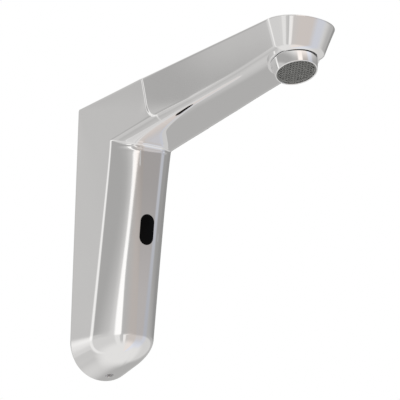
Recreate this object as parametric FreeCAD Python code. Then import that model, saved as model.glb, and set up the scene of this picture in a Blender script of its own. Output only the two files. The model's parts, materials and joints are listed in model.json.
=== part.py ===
import FreeCAD, Part
import math
import os

# Sensor tap for a wall: a chromed column with a level spout, a black sensor window in the
# column's front and an aerator under the spout's tip. Millimetres.
# Origin: on the wall, on the water inlet's axis. +Z up, +Y into the wall, spout towards -Y.

# ---- driving dimensions: the casting --------------------------------------------------------
top_z = 47.0                # flat top of the spout
foot_z = -100.0             # height at which the column's half-round foot starts
foot_radius = 23.5          # half width and depth of that foot at the wall
wall_half_top = 24.9        # half width on the wall at the top
spout_under_z = 14.6        # where the spout's underside meets the column
column_depth_foot = 43.4    # column's depth at foot_z
column_depth_top = 51.9     # column's depth at spout_under_z
front_half_foot = 15.5      # half width of the column's front at foot_z
front_half_top = 20.5       # the same at spout_under_z
front_corner = 14.0         # rounding between the column's sides and front
foot_bow = 0.24             # rise of the foot per mm of depth
foot_front_round = 13.7     # rounding between foot and front, seen from the side
casting_wall = 3.2
spout_length = 201.9        # from the wall to where the nose starts
nose_length = 17.0
nose_back_rake = 0.41       # the nose falls back by this much per mm down
spout_even_length = 47.0    # the spout keeps its full width up to here
spout_tip_half = 21.3       # half width of the spout's top where the nose starts
spout_under_half = 17.0     # half width of the underside, rounding included
spout_under_corner = 7.0    # rounding along the underside's edges
spout_rise_angle = 5.5      # the underside climbs towards the tip

# ---- driving dimensions: the outlet ---------------------------------------------------------
aerator_setback = 1.7       # the mouth's centre is this far short of the nose
mouth_drop = 7.63           # and this far under the spout
aerator_tilt = 18.0         # the jet leans away from the wall
thread_radius = 11.95       # M24x1
thread_gap = 0.05
mouth_radius = 10.74
collar_top_radius = 13.0
collar_mouth_radius = 11.5
collar_height = 7.2
thread_length = 6.0
insert_radius = 11.0
insert_low = 1.2            # the insert sits this far inside the mouth
grid_thickness = 2.2
grid_pitch = 2.3
grid_hole = 0.85
insert_gap = 0.06
seat_gap = 0.25             # dark line between the collar and the casting
boss_radius = 14.3

# ---- driving dimensions: the sensor ---------------------------------------------------------
window_z = -36.55
window_half_width = 4.85
window_half_height = 9.45
window_gap = 0.12
flange_margin = 1.55        # the lens is this much larger behind the wall
diode_radius = 2.5
diode_offset = 4.6

# ---- driving dimensions: fixing and inlet ---------------------------------------------------
gasket_thickness = 1.0
plate_thickness = 3.0
plate_gap = 0.3
plate_hole_radius = 2.6
plate_sink_radius = 4.8
plate_hole_high_z = 34.0
plate_hole_low_z = -48.0
inlet_thread_radius = 10.48  # G1/2
inlet_thread_length = 24.0
inlet_relief = 0.3
inlet_bore_radius = 6.5
tail_flange_radius = 13.5
tail_flange_thickness = 3.0
spigot_radius = 9.0
spigot_length = 5.7
check_rim_y = 11.0
check_length = 8.0
slide_gap = 0.05
lock_screw_radius = 2.5
lock_screw_length = 9.2
lock_screw_y = -9.0

# ---- driving dimensions: valve and solenoid -------------------------------------------------
valve_y = -26.0
valve_half_width = 14.5
valve_back_y = -12.0
valve_front_y = -36.5
valve_low_z = -12.0
valve_high_z = 18.0
neck_radius = 11.5
neck_gap = 0.3
piston_radius = 8.0
piston_gap = 0.08
piston_height = 5.4
seat_z = 3.0
seat_bore_radius = 3.8
seat_wall = 1.8
chamber_radius = 9.4
chamber_top_z = 9.0
cover_thickness = 4.0
solenoid_y = -16.5
core_tube_radius = 5.2
core_tube_wall = 0.6
coil_radius = 8.6
coil_low_z = -39.6
coil_high_z = -19.6
yoke_thickness = 1.2
plunger_gap = 0.1
plunger_low_z = -35.0
core_top_z = -38.0
tube_end_z = -45.0

# ---- driving dimensions: spout tube ---------------------------------------------------------
tube_radius = 4.5
tube_wall = 1.0
tube_z = 36.8
tube_bend = 14.0
tube_foot_z = 12.0
tube_tip_setback = 18.2     # the tube ends this far short of the mouth's centre
socket_radius = 7.4
socket_setback = 29.2
groove_setback = 23.2
chamber_setback = 8.2
ring_wire = 0.62

# ---- driving dimensions: boards and batteries -----------------------------------------------
board_thickness = 1.4
board_y = -27.0
board_half_width = 14.4
board_low_z = -53.0
board_high_z = -21.0
cell_radius = 5.2
cell_length = 43.7
nub_radius = 1.9
nub_height = 0.8
cell_pitch_x = 10.9
cell_pitch_y = 10.7
case_wall = 1.2
case_back_y = -6.7
case_low_z = -106.3
case_high_z = -57.0
cover_plate = 1.5
m3_radius = 1.5
m3_head_radius = 2.8
m3_head_height = 1.8
seat_clearance = 0.3
touch = 0.03

X_AXIS = FreeCAD.Vector(1, 0, 0)
Y_AXIS = FreeCAD.Vector(0, 1, 0)
Z_AXIS = FreeCAD.Vector(0, 0, 1)


# ---- small makers ---------------------------------------------------------------------------
def vec(x, y, z):
    return FreeCAD.Vector(x, y, z)


def block(x, y, z):
    """Box between the two limits of each pair."""
    return Part.makeBox(x[1] - x[0], y[1] - y[0], z[1] - z[0], vec(x[0], y[0], z[0]))


def rod_y(radius, x, y, z):
    return Part.makeCylinder(radius, y[1] - y[0], vec(x, y[0], z), Y_AXIS)


def rod_z(radius, x, y, z):
    return Part.makeCylinder(radius, z[1] - z[0], vec(x, y, z[0]), Z_AXIS)


def pipe_z(outer, inner, x, y, z):
    return rod_z(outer, x, y, z).cut(rod_z(inner, x, y, (z[0] - 1, z[1] + 1)))


def fuse_all(shapes):
    whole = shapes[0]
    for shape in shapes[1:]:
        whole = whole.fuse(shape)
    return whole


def cut_all(shape, cutters):
    for cutter in cutters:
        shape = shape.cut(cutter)
    return shape


def arc(first, middle, last):
    return Part.Arc(first, middle, last).toShape()


def line(first, last):
    return Part.LineSegment(first, last).toShape()


def stadium(half_width, half_height, low, high):
    """Upright pill on the local XY plane, from height low to high."""
    straight = half_height - half_width
    right = arc(vec(half_width, straight, low), vec(0, half_height, low), vec(-half_width, straight, low))
    left = arc(vec(-half_width, -straight, low), vec(0, -half_height, low), vec(half_width, -straight, low))
    down = line(vec(-half_width, straight, low), vec(-half_width, -straight, low))
    up = line(vec(half_width, -straight, low), vec(half_width, straight, low))
    face = Part.Face(Part.Wire([right, down, left, up]))
    return face.extrude(vec(0, 0, high - low))


# ---- the casting's outlines -----------------------------------------------------------------
def share(z):
    """0 at the foot, 1 where the spout's underside meets the column."""
    return (z - foot_z) / (spout_under_z - foot_z)


def column_depth(z):
    return column_depth_foot + (column_depth_top - column_depth_foot) * share(z)


def front_half(z):
    return front_half_foot + (front_half_top - front_half_foot) * share(z)


def wall_half(z):
    return foot_radius + (wall_half_top - foot_radius) * (z - foot_z) / (top_z - foot_z)


def spout_half(s):
    taper = max(0.0, s - spout_even_length) / (spout_length - spout_even_length)
    return wall_half_top + (spout_tip_half - wall_half_top) * taper


def spout_under(s):
    return spout_under_z + (s - column_depth_top) * math.tan(math.radians(spout_rise_angle))


def half_outline(half_back, half_front, corner, depth):
    """Side line from the back edge, tangent to the corner's arc: tangent, middle, front points."""
    centre_x = half_front - corner
    centre_d = depth - corner
    dx = centre_x - half_back
    reach = math.hypot(dx, centre_d)
    turn = math.asin(corner / reach)
    angle = math.atan2(centre_d, dx) - turn
    length = reach * math.cos(turn)
    tangent = (half_back + length * math.cos(angle), length * math.sin(angle))
    start = math.atan2(tangent[1] - centre_d, tangent[0] - centre_x)
    middle_angle = (start + math.pi / 2) / 2
    middle = (centre_x + corner * math.cos(middle_angle), centre_d + corner * math.sin(middle_angle))
    return tangent, middle, (centre_x, depth)


def outline_wire(half_back, half_front, corner, depth, place, back=0.0):
    """Closed outline, flat at the back; place turns (x, depth) into a point."""
    tangent, middle, front = half_outline(half_back, half_front, corner, depth)

    def right(point):
        return place(point[0], point[1])

    def left(point):
        return place(-point[0], point[1])

    edge = (half_back, 0.0)
    rear = (half_back, -back)
    edges = [line(left(rear), right(rear))]
    if back:
        edges.append(line(right(rear), right(edge)))
    edges.append(line(right(edge), right(tangent)))
    edges.append(arc(right(tangent), right(middle), right(front)))
    edges.append(line(right(front), left(front)))
    edges.append(arc(left(front), left(middle), left(tangent)))
    edges.append(line(left(tangent), left(edge)))
    if back:
        edges.append(line(left(edge), left(rear)))
    return Part.Wire(edges)


def rounded_profile(points, radii, width):
    """Prism along X from a polygon of (y, z) points, each corner with its own radius."""
    edges = []
    ends = []
    for i, (corner, radius) in enumerate(zip(points, radii)):
        here = vec(0, *corner)
        before = (vec(0, *points[i - 1]) - here).normalize()
        after = (vec(0, *points[(i + 1) % len(points)]) - here).normalize()
        half = before.getAngle(after) / 2
        run = radius / math.tan(half)
        start = here + before * run
        end = here + after * run
        if radius:
            toward = (before + after).normalize()
            middle = here + toward * (radius / math.sin(half) - radius)
            edges.append((i, arc(start, middle, end)))
        ends.append((start, end))
    wire = []
    arcs = dict(edges)
    for i in range(len(points)):
        if i in arcs:
            wire.append(arcs[i])
        wire.append(line(ends[i][1], ends[(i + 1) % len(points)][0]))
    solid = Part.Face(Part.Wire(wire)).extrude(vec(2 * width, 0, 0))
    solid.translate(vec(-width, 0, 0))
    return solid


def half_ellipse_prism(half_width, drop, y_back, y_front, narrow, shallow):
    """Half-round foot: lower half ellipses from the wall to the front, closed at foot_z."""
    wires = []
    for y in (y_back, y_front):
        a = half_width + narrow * y
        b = drop + shallow * y
        centre = vec(0, y, foot_z)
        curve = Part.Ellipse(vec(a, y, foot_z), vec(0, y, foot_z - b), centre)
        bow = Part.ArcOfEllipse(curve, 0, math.pi).toShape()
        wires.append(Part.Wire([bow, line(vec(-a, y, foot_z), vec(a, y, foot_z))]))
    return Part.makeLoft(wires, True, True)


def column_solid(inset, back=0.0):
    """Column down to its half-round foot; inset moves every wall inwards."""
    low = foot_z - foot_radius - 3
    high = top_z - inset
    wires = []
    for z in (low, high):
        def place(x, depth, z=z):
            return vec(x, -depth, z)
        wires.append(outline_wire(wall_half(z) - inset, front_half(z) - inset, front_corner - inset,
                                  column_depth(z) - inset, place, back))
    column = Part.makeLoft(wires, True, True)
    side_draft = (foot_radius - front_half_foot) / (column_depth_foot - front_corner)
    ease = 0.5
    bowl = half_ellipse_prism(foot_radius + ease - inset, foot_radius - inset, 5.0, -62.0,
                              side_draft * 0.75, foot_bow)
    above = block((-60, 60), (-90, 20), (foot_z, top_z + 40))
    column = column.common(bowl.fuse(above))
    lean = (column_depth_top - column_depth_foot) / (spout_under_z - foot_z)
    slack = 0.4
    front_low = column_depth(foot_z - foot_radius) - inset + slack
    front_high = column_depth(top_z + 40) - inset + slack
    bottom_back = foot_z - foot_radius + inset - slack
    foot_corner_u = front_low
    foot_corner_z = bottom_back + foot_bow * foot_corner_u
    foot_corner_u += lean * (foot_corner_z - (foot_z - foot_radius))
    profile = [(20, top_z + 40), (20, bottom_back - foot_bow * 20),
               (-foot_corner_u, bottom_back + foot_bow * foot_corner_u), (-front_high, top_z + 40)]
    return column.common(rounded_profile(profile, [0, 0, foot_front_round - inset, 0], 60))


def spout_solid(inset, back=0.0):
    """Spout with its nose; the same outline as the column's, laid on the top face."""
    def section(s):
        def place(x, depth):
            return vec(x, -s, top_z - inset - depth)
        depth = top_z - spout_under(s) - 2 * inset
        return outline_wire(spout_half(s) - inset, spout_under_half - inset,
                            spout_under_corner - inset, depth, place)

    far = spout_length + nose_length + 5
    near = Part.makeLoft([section(-back), section(spout_even_length)], True, True)
    long = Part.makeLoft([section(spout_even_length), section(far)], True, True)
    spout = near.fuse(long)
    levels = [(-1.0, spout_tip_half + 0.3), (10.0, spout_under_half + 0.4), (34.0, spout_under_half + 0.4)]
    plans = []
    for drop, half in levels:
        z = top_z - drop
        reach = max(nose_length - nose_back_rake * drop - inset, 2.0)
        half -= inset
        centre = vec(0, -spout_length, z)
        curve = Part.Ellipse(vec(half, -spout_length, z), vec(0, -spout_length - reach, z), centre)
        bow = Part.ArcOfEllipse(curve, 0, math.pi).toShape()
        wide = half + 9.0
        plans.append(Part.Wire([bow, line(vec(-half, -spout_length, z), vec(-wide, 20, z)),
                                line(vec(-wide, 20, z), vec(wide, 20, z)),
                                line(vec(wide, 20, z), vec(half, -spout_length, z))]))
    nose = Part.makeLoft(plans[:2], True, True).fuse(Part.makeLoft(plans[1:], True, True))
    spout = spout.common(nose)
    slack = 0.3
    rise = math.tan(math.radians(spout_rise_angle))
    tip = spout_length + nose_length - inset + slack
    under_zero = spout_under(0) + inset - slack
    corner_u = (tip - nose_back_rake * (top_z - under_zero)) / (1 - nose_back_rake * rise)
    profile = [(20, top_z + 20), (20, under_zero - 20 * rise),
               (-corner_u, under_zero + corner_u * rise),
               (-(tip + nose_back_rake * 20), top_z + 20)]
    return spout.common(rounded_profile(profile, [0, 0, spout_under_corner - inset, 0], 60))


# ---- places that several pieces share -------------------------------------------------------
aerator_y = aerator_setback - spout_length
aerator_z = spout_under(-aerator_y) - mouth_drop
tube_tip_y = aerator_y + tube_tip_setback
socket_back_y = aerator_y + socket_setback
chamber_y = aerator_y + chamber_setback
plate_back_y = -gasket_thickness
plate_front_y = plate_back_y - plate_thickness
flange_front_y = plate_front_y - tail_flange_thickness
spigot_tip_y = flange_front_y - spigot_length
cover_low_z = valve_low_z - cover_thickness
cover_screw_x = 12.0
cover_screw_ys = (valve_front_y + 2.6, valve_back_y - 2.6)
piston_top_z = seat_z - 0.5
piston_crown = 2.2
pad_depth = 4.4
sensor_seal = 0.8
lens_back = pad_depth + sensor_seal
flange_depth = lens_back + 1.5
housing_depth = flange_depth + 7.3
bracket_depth = housing_depth + 1.2
bracket_reach = 15.0
bore_top = collar_height + thread_length + 2.1
chamber_top = bore_top + 2.7
case_half_width = cell_pitch_x / 2 + cell_radius + case_wall + 0.35
case_front_y = case_back_y - 2 * cell_radius - cell_pitch_y - 0.5 - case_wall
ledge_z = case_low_z - seat_clearance
valve_screw_x = 11.5
valve_screw_z = 10.0
valve_screw_tip_y = -44.0
lug_low_z = foot_z - 11.5
lock_tip_z = lug_low_z - 0.1
lock_key_radius = 1.45
lock_point = 0.8
socket_groove_y = aerator_y + groove_setback
port_groove_z = 15.0
groove_half = 0.95


# ---- local frames ---------------------------------------------------------------------------
def at_sensor(shape):
    """Local x across, y up the column's front, z out of it; origin on the front at window_z."""
    lean = (column_depth_top - column_depth_foot) / (spout_under_z - foot_z)
    turn = FreeCAD.Rotation(X_AXIS, 90 + math.degrees(math.atan(lean)))
    placed = shape.copy()
    placed.Placement = FreeCAD.Placement(vec(0, -column_depth(window_z), window_z), turn)
    return placed


def at_outlet(shape):
    """Local z up the aerator's axis; origin at the centre of its mouth."""
    placed = shape.copy()
    turn = FreeCAD.Rotation(X_AXIS, -aerator_tilt)
    placed.Placement = FreeCAD.Placement(vec(0, aerator_y, aerator_z), turn)
    return placed


# ---- casting --------------------------------------------------------------------------------
def body_shell():
    outer = column_solid(0).fuse(spout_solid(0))
    inner = column_solid(casting_wall, back=2.0).fuse(spout_solid(casting_wall, back=2.0))
    shell = outer.cut(inner)

    boss = at_outlet(rod_z(boss_radius, 0, 0, (collar_height + seat_gap, 26)))
    lip = spout_under(-chamber_y) + 1
    room = outer.fuse(block((-20, 20), (aerator_y, aerator_y + 30), (lip - 15, lip)))
    additions = [at_sensor(stadium(9.0, 13.5, -pad_depth, 0)),
                 rod_y(socket_radius, 0, (chamber_y, socket_back_y), tube_z),
                 rod_z(5.0, 0, lock_screw_y, (foot_z - foot_radius, lock_tip_z - 1.7))]
    for side in (-1, 1):
        additions.append(at_sensor(rod_z(3.0, 0, side * bracket_reach, (-housing_depth + 0.1, 0))))
        additions.append(rod_y(3.2, side * valve_screw_x, (-60, valve_front_y - seat_clearance), valve_screw_z))
        x = sorted((side * 6.5, side * 9.5))
        additions.append(block(x, (case_front_y + 1, case_back_y), (foot_z - 30, ledge_z)))
        x = sorted((side * (board_half_width - 1.2), side * 30))
        additions.append(block(x, (board_y - board_thickness - 1.6, board_y + 1.6), (board_low_z, board_high_z)))
    inside = fuse_all(additions).common(outer)
    shell = shell.fuse(inside).fuse(boss.common(room))

    cuts = [at_sensor(stadium(window_half_width, window_half_height, -20, 5)),
            at_outlet(rod_z(thread_radius + thread_gap, 0, 0, (-5, bore_top))),
            at_outlet(rod_z(collar_top_radius + 0.35, 0, 0, (-5, collar_height + seat_gap))),
            at_outlet(rod_z(9.0, 0, 0, (0, chamber_top))),
            rod_y(tube_radius + slide_gap, 0, (tube_tip_y - 0.5, valve_y - tube_bend), tube_z),
            rod_y(tube_radius - tube_wall, 0, (chamber_y, socket_back_y), tube_z),
            rod_y(tube_radius + 2 * ring_wire + 0.15, 0,
                  (socket_groove_y - groove_half, socket_groove_y + groove_half), tube_z),
            rod_z(lock_screw_radius + slide_gap, 0, lock_screw_y, (foot_z - 40, lock_tip_z))]
    for side in (-1, 1):
        cuts.append(at_sensor(rod_z(m3_radius + touch, 0, side * bracket_reach, (-20, -6.5))))
        cuts.append(rod_y(m3_radius + touch, side * valve_screw_x, (valve_screw_tip_y - 0.5, valve_front_y + 1), valve_screw_z))
    slot_y = (board_y - board_thickness - 0.1, board_y + 0.1)
    slot_x = board_half_width + 0.15
    cuts.append(block((-slot_x, slot_x), slot_y, (board_low_z, board_high_z + 1)))
    case_x = case_half_width + touch
    cuts.append(block((-case_x, case_x), (case_front_y - touch, case_back_y), (ledge_z, case_high_z)))
    return cut_all(shell, cuts)


def wall_slab(inset, y):
    """Slice of the column's inside outline, for the plate and its gasket."""
    return column_solid(casting_wall + inset, back=2.0).common(block((-60, 60), y, (-200, 200)))


def wall_plate():
    plate = wall_slab(plate_gap, (plate_front_y, plate_back_y))
    plate = plate.cut(rod_y(inlet_thread_radius + 0.3, 0, (-10, 10), 0))
    for z in (plate_hole_high_z, plate_hole_low_z):
        plate = plate.cut(rod_y(plate_hole_radius, 0, (-10, 10), z))
        sink = plate_sink_radius - plate_hole_radius
        plate = plate.cut(Part.makeCone(plate_sink_radius, plate_hole_radius, sink,
                                        vec(0, plate_front_y, z), Y_AXIS))
    lug = block((-5.5, 5.5), (lock_screw_y - 5, plate_front_y), (lug_low_z, lug_low_z + 2.0))
    return plate.fuse(lug)


def wall_gasket():
    gasket = wall_slab(plate_gap, (plate_back_y, 0))
    gasket = gasket.cut(rod_y(inlet_thread_radius + 0.3, 0, (-10, 10), 0))
    for z in (plate_hole_high_z, plate_hole_low_z):
        gasket = gasket.cut(rod_y(plate_hole_radius + 0.6, 0, (-10, 10), z))
    return gasket


def lock_screw():
    low = lock_tip_z - lock_screw_length
    screw = rod_z(lock_screw_radius, 0, lock_screw_y, (low, lock_tip_z - lock_point))
    point = Part.makeCone(lock_screw_radius, lock_screw_radius - lock_point, lock_point,
                          vec(0, lock_screw_y, lock_tip_z - lock_point), Z_AXIS)
    corners = []
    for i in range(7):
        angle = i * math.pi / 3
        corners.append(vec(lock_key_radius * math.cos(angle),
                           lock_screw_y + lock_key_radius * math.sin(angle), low))
    key = Part.Face(Part.makePolygon(corners)).extrude(vec(0, 0, 3.0))
    return screw.fuse(point).cut(key)


# ---- inlet ----------------------------------------------------------------------------------
tail_groove_y = (spigot_tip_y + 1.3, spigot_tip_y + 3.2)


def inlet_tail():
    tail = fuse_all([rod_y(inlet_thread_radius, 0, (0, inlet_thread_length), 0),
                     rod_y(inlet_thread_radius - inlet_relief, 0, (plate_front_y, 0), 0),
                     rod_y(tail_flange_radius, 0, (flange_front_y, plate_front_y), 0),
                     rod_y(spigot_radius, 0, (spigot_tip_y, flange_front_y), 0)])
    groove = rod_y(spigot_radius + 1, 0, tail_groove_y, 0).cut(rod_y(spigot_radius - 1.45, 0, tail_groove_y, 0))
    return tail.cut(groove).cut(rod_y(inlet_bore_radius, 0, (spigot_tip_y - 1, inlet_thread_length + 1), 0))


def ring_y(major, wire, y, z):
    return Part.makeTorus(major, wire, vec(0, y, z), Y_AXIS)


def tail_o_ring():
    return ring_y(spigot_radius - 0.7, 0.72, sum(tail_groove_y) / 2, 0)


def inlet_strainer():
    outer = inlet_bore_radius - 0.05
    cup = rod_y(outer - 0.7, 0, (spigot_tip_y + 0.5, 1.0), 0)
    cup = cup.fuse(rod_y(outer, 0, (0.2, 1.0), 0))
    cup = cup.cut(rod_y(outer - 1.3, 0, (spigot_tip_y + 1.1, 2.0), 0))
    slots = []
    for i in range(8):
        slot = block((-0.5, 0.5), (spigot_tip_y + 2, -1.2), (outer - 2.2, outer + 1))
        slot.rotate(vec(0, 0, 0), Y_AXIS, 45 * i)
        slots.append(slot)
    return cut_all(cup, slots)


def check_valve():
    """Rubber duckbill: its slit tip points downstream, towards the strainer."""
    rim = rod_y(inlet_bore_radius - 0.05, 0, (check_rim_y - 2.0, check_rim_y), 0)
    bill = Part.makeCone(5.2, 1.6, check_length, vec(0, check_rim_y, 0), -Y_AXIS)
    hollow = Part.makeCone(4.4, 0.9, check_length - 0.8, vec(0, check_rim_y, 0), -Y_AXIS)
    tip_y = check_rim_y - check_length
    slit = block((-1.2, 1.2), (tip_y - 1.0, tip_y + 2.0), (-0.1, 0.1))
    return rim.fuse(bill).cut(hollow).cut(slit)


# ---- valve ----------------------------------------------------------------------------------
def valve_body():
    high = (valve_low_z, valve_high_z)
    body = block((-valve_half_width, valve_half_width), (valve_front_y, valve_back_y), high)
    neck_back = flange_front_y - neck_gap
    body = body.fuse(rod_y(neck_radius, 0, (valve_back_y - 1, neck_back), 0))
    port = rod_z(tube_radius + 3.2, 0, valve_y, (valve_high_z, valve_high_z + 3.0))
    body = body.fuse(port)
    chamber = pipe_z(chamber_radius, seat_bore_radius + seat_wall, 0, valve_y, (seat_z, chamber_top_z))
    way = block((-4, 4), (valve_y + 6.5, spigot_tip_y), (seat_z + 0.5, 5.8))
    cuts = [rod_y(spigot_radius + slide_gap, 0, (spigot_tip_y - 0.3, neck_back + 1), 0),
            rod_y(6.0, 0, (spigot_tip_y - 2.6, spigot_tip_y), 0),
            chamber,
            rod_z(chamber_radius, 0, valve_y, (piston_top_z - 1.2, seat_z)),
            way,
            rod_z(piston_radius + piston_gap, 0, valve_y, (valve_low_z - 1, seat_z)),
            rod_z(seat_bore_radius, 0, valve_y, (seat_z - 1, tube_foot_z)),
            rod_z(tube_radius + slide_gap, 0, valve_y, (tube_foot_z - 0.3, valve_high_z + 5)),
            rod_z(tube_radius + 2 * ring_wire + 0.15, 0, valve_y,
                  (port_groove_z - groove_half, port_groove_z + groove_half))]
    for side in (-1, 1):
        cuts.append(rod_y(m3_radius + 0.15, side * valve_screw_x, (valve_front_y - 1, valve_back_y + 1), valve_screw_z))
        for y in cover_screw_ys:
            cuts.append(rod_z(1.0 + touch, side * cover_screw_x, y, (valve_low_z - 1, valve_low_z + 6.3)))
    return cut_all(body, cuts)


def valve_cover():
    cover = block((-valve_half_width, valve_half_width), (valve_front_y, solenoid_y + 8.4), (cover_low_z, valve_low_z))
    pilot = 0.8
    channel_z = valve_low_z - 1.9
    cuts = [rod_z(pilot, 0, solenoid_y, (cover_low_z - 1, channel_z)),
            rod_y(pilot, 0, (valve_y, solenoid_y), channel_z),
            rod_z(pilot, 0, valve_y, (channel_z, valve_low_z + 1))]
    for side in (-1, 1):
        for y in cover_screw_ys:
            cuts.append(rod_z(1.15, side * cover_screw_x, y, (cover_low_z - 1, valve_low_z + 1)))
            cuts.append(rod_z(2.2, side * cover_screw_x, y, (cover_low_z - 1, cover_low_z + 1.6)))
    return cut_all(cover, cuts)


def small_screw(x, y, low, shank, radius, head_radius, head_height):
    """Pan screw standing upwards, head at low."""
    screw = rod_z(head_radius, x, y, (low, low + head_height))
    screw = screw.fuse(rod_z(radius, x, y, (low + head_height, low + head_height + shank)))
    slots = [block((x - head_radius * 0.6, x + head_radius * 0.6), (y - 0.22, y + 0.22), (low - 1, low + 0.6)),
             block((x - 0.22, x + 0.22), (y - head_radius * 0.6, y + head_radius * 0.6), (low - 1, low + 0.6))]
    return cut_all(screw, slots)


def cover_screws():
    return Part.makeCompound([small_screw(side * cover_screw_x, y, cover_low_z + 0.2, 8.2, 1.0, 1.9, 1.4)
                              for side in (-1, 1) for y in cover_screw_ys])


def valve_piston():
    low = piston_top_z - piston_height
    piston = rod_z(piston_radius, 0, valve_y, (low, piston_top_z))
    piston = piston.cut(rod_z(5.6, 0, valve_y, (low - 1, piston_top_z - piston_crown)))
    return piston.cut(rod_z(0.4, 6.6, valve_y, (low - 1, piston_top_z + 1)))


def piston_seal():
    return rod_z(6.0, 0, valve_y, (piston_top_z, piston_top_z + 0.4))


def piston_spring():
    return pipe_z(5.2, 4.4, 0, valve_y, (valve_low_z, piston_top_z - piston_crown))


# ---- solenoid -------------------------------------------------------------------------------
def solenoid_tube():
    tube = rod_z(core_tube_radius, 0, solenoid_y, (tube_end_z, cover_low_z))
    tube = tube.fuse(rod_z(7.4, 0, solenoid_y, (cover_low_z - 1.4, cover_low_z)))
    inner = core_tube_radius - core_tube_wall
    return tube.cut(rod_z(inner, 0, solenoid_y, (tube_end_z + core_tube_wall, cover_low_z + 1)))


def solenoid_core():
    inner = core_tube_radius - core_tube_wall
    return rod_z(inner, 0, solenoid_y, (tube_end_z + core_tube_wall, core_top_z))


def plunger():
    radius = core_tube_radius - core_tube_wall - plunger_gap
    body = rod_z(radius, 0, solenoid_y, (plunger_low_z, cover_low_z - 1.0))
    for side in (-1, 1):
        x = sorted((side * (radius - 0.9), side * (radius + 1)))
        body = body.cut(block(x, (solenoid_y - 0.7, solenoid_y + 0.7), (plunger_low_z - 1, cover_low_z + 1)))
    return body


def plunger_seal():
    return rod_z(2.4, 0, solenoid_y, (cover_low_z - 1.0, cover_low_z - 0.06))


def plunger_spring():
    return pipe_z(3.3, 2.5, 0, solenoid_y, (core_top_z, plunger_low_z))


def solenoid_coil():
    coil = rod_z(coil_radius - 0.8, 0, solenoid_y, (coil_low_z + 1, coil_high_z - 1))
    coil = coil.fuse(rod_z(coil_radius, 0, solenoid_y, (coil_low_z, coil_low_z + 1.4)))
    coil = coil.fuse(rod_z(coil_radius, 0, solenoid_y, (coil_high_z - 1.4, coil_high_z)))
    return coil.cut(rod_z(core_tube_radius + 0.1, 0, solenoid_y, (coil_low_z - 1, coil_high_z + 1)))


def solenoid_yoke():
    half_x = coil_radius + 0.2
    low = coil_low_z - 0.1
    high = coil_high_z + 0.1
    half_y = 6.5
    outer = block((-half_x - yoke_thickness, half_x + yoke_thickness), (solenoid_y - half_y, solenoid_y + half_y),
                  (low - yoke_thickness, high + yoke_thickness))
    inner = block((-half_x, half_x), (solenoid_y - 20, solenoid_y + 20), (low, high))
    return outer.cut(inner).cut(rod_z(core_tube_radius + 0.1, 0, solenoid_y, (tube_end_z, cover_low_z)))


def valve_screws():
    screws = []
    for side in (-1, 1):
        x = side * valve_screw_x
        screw = rod_y(m3_head_radius, x, (valve_back_y, valve_back_y + m3_head_height), valve_screw_z)
        screw = screw.fuse(rod_y(m3_radius, x, (valve_screw_tip_y, valve_back_y), valve_screw_z))
        key = rod_y(1.2, x, (valve_back_y + 0.7, valve_back_y + 3), valve_screw_z)
        screws.append(screw.cut(key))
    return Part.makeCompound(screws)


# ---- spout tube -----------------------------------------------------------------------------
def spout_tube():
    bend_z = tube_z - tube_bend
    bend_y = valve_y - tube_bend
    middle = vec(0, bend_y + tube_bend * math.cos(math.pi / 4), bend_z + tube_bend * math.sin(math.pi / 4))
    path = Part.Wire([line(vec(0, valve_y, tube_foot_z), vec(0, valve_y, bend_z)),
                      arc(vec(0, valve_y, bend_z), middle, vec(0, bend_y, tube_z)),
                      line(vec(0, bend_y, tube_z), vec(0, tube_tip_y, tube_z))])

    def sweep(radius):
        ring = Part.Wire([Part.makeCircle(radius, vec(0, valve_y, tube_foot_z), Z_AXIS)])
        return path.makePipeShell([ring], True, False)

    return sweep(tube_radius).cut(sweep(tube_radius - tube_wall))


def tube_o_rings():
    major = tube_radius + ring_wire + 0.06
    return Part.makeCompound([ring_y(major, ring_wire, socket_groove_y, tube_z),
                              Part.makeTorus(major, ring_wire, vec(0, valve_y, port_groove_z), Z_AXIS)])


# ---- aerator, all on its own axis -----------------------------------------------------------
def aerator_housing():
    collar = Part.makeCone(collar_mouth_radius, collar_top_radius, collar_height, vec(0, 0, 0), Z_AXIS)
    neck = rod_z(thread_radius, 0, 0, (collar_height - 1, collar_height + thread_length))
    housing = collar.fuse(neck)
    housing = housing.cut(rod_z(insert_radius, 0, 0, (insert_low, collar_height + thread_length + 1)))
    return at_outlet(housing.cut(rod_z(mouth_radius, 0, 0, (-1, 2))))


def aerator_washer():
    low = collar_height + thread_length
    return at_outlet(pipe_z(thread_radius - 0.25, 9.4, 0, 0, (low, low + 1.8)))


def jet_former():
    disc = rod_z(insert_radius - insert_gap, 0, 0, (insert_low, insert_low + grid_thickness))
    holes = []
    for row in range(-4, 5):
        for column in range(-4, 5):
            x = grid_pitch * (column + row / 2)
            y = grid_pitch * row * math.sqrt(3) / 2
            if math.hypot(x, y) < insert_radius - 1.6:
                holes.append(rod_z(grid_hole, x, y, (0, 5)))
    return at_outlet(disc.cut(Part.makeCompound(holes)))


def aerator_screen():
    low = insert_low + grid_thickness + 0.6
    rim = pipe_z(insert_radius - insert_gap, 9.6, 0, 0, (low - 0.6, low + 1.2))
    reach = 9.8
    bars = []
    for i in range(-4, 5):
        across = (i * 2.2 - 0.25, i * 2.2 + 0.25)
        bars.append(block((-reach, reach), across, (low, low + 0.5)))
        bars.append(block(across, (-reach, reach), (low + 0.4, low + 0.9)))
    mesh = fuse_all(bars).common(rod_z(reach, 0, 0, (low - 1, low + 2)))
    return at_outlet(rim.fuse(mesh))


def flow_regulator():
    low = insert_low + grid_thickness + 1.8
    high = collar_height + thread_length
    cup = pipe_z(insert_radius - insert_gap, 9.4, 0, 0, (low, high))
    plate = rod_z(9.6, 0, 0, (low + 3.0, low + 5.0))
    holes = []
    for i in range(8):
        angle = i * math.pi / 4
        holes.append(rod_z(1.1, 6.6 * math.cos(angle), 6.6 * math.sin(angle), (low, high)))
    core = rod_z(2.4, 0, 0, (low + 1.0, high - 0.6))
    return at_outlet(cup.fuse(plate.cut(Part.makeCompound(holes))).fuse(core))


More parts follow.
